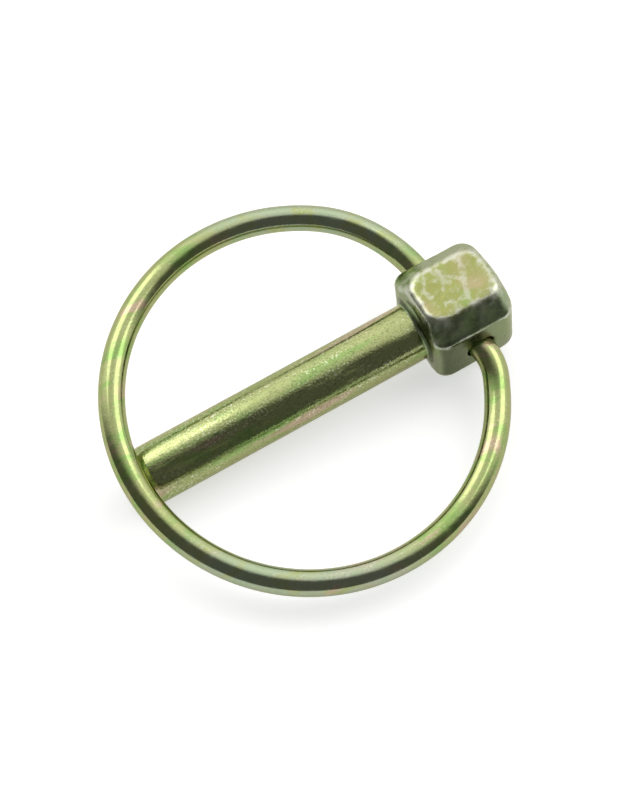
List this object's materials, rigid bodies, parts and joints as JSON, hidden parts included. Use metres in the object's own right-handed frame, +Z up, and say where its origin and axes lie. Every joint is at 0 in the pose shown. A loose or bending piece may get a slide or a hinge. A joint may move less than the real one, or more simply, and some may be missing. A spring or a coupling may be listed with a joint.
{
  "type": "lynch pin",
  "caption": "Plated steel lynch pin: a round shank with a bevelled block head, and a sprung wire ring hinged in the head that closes over the shank's nose.",
  "frame": {"origin": "centre of the bounding box at the floor the pin lies on", "axes": "+X along the shank from its nose to the head, +Y across the head from side to side, +Z up from the floor"},
  "size_m": [0.0566, 0.0528, 0.014],
  "materials": {
    "plated_pin": "yellow zinc plating, satin to glossy",
    "plated_wire": "yellow zinc plating, glossy"
  },
  "bodies": {
    "pin": {"pin": "plated_pin"},
    "ring": {"ring": "plated_wire"}
  },
  "joints": [
    {"name": "ring_hinge", "type": "hinge", "parent": "pin", "child": "ring", "pos_m": [0.02112, 0.00162, 0.00689], "axis": [-0.1443, 0.9814, 0.1269], "range_deg": [0, 180]}
  ]
}
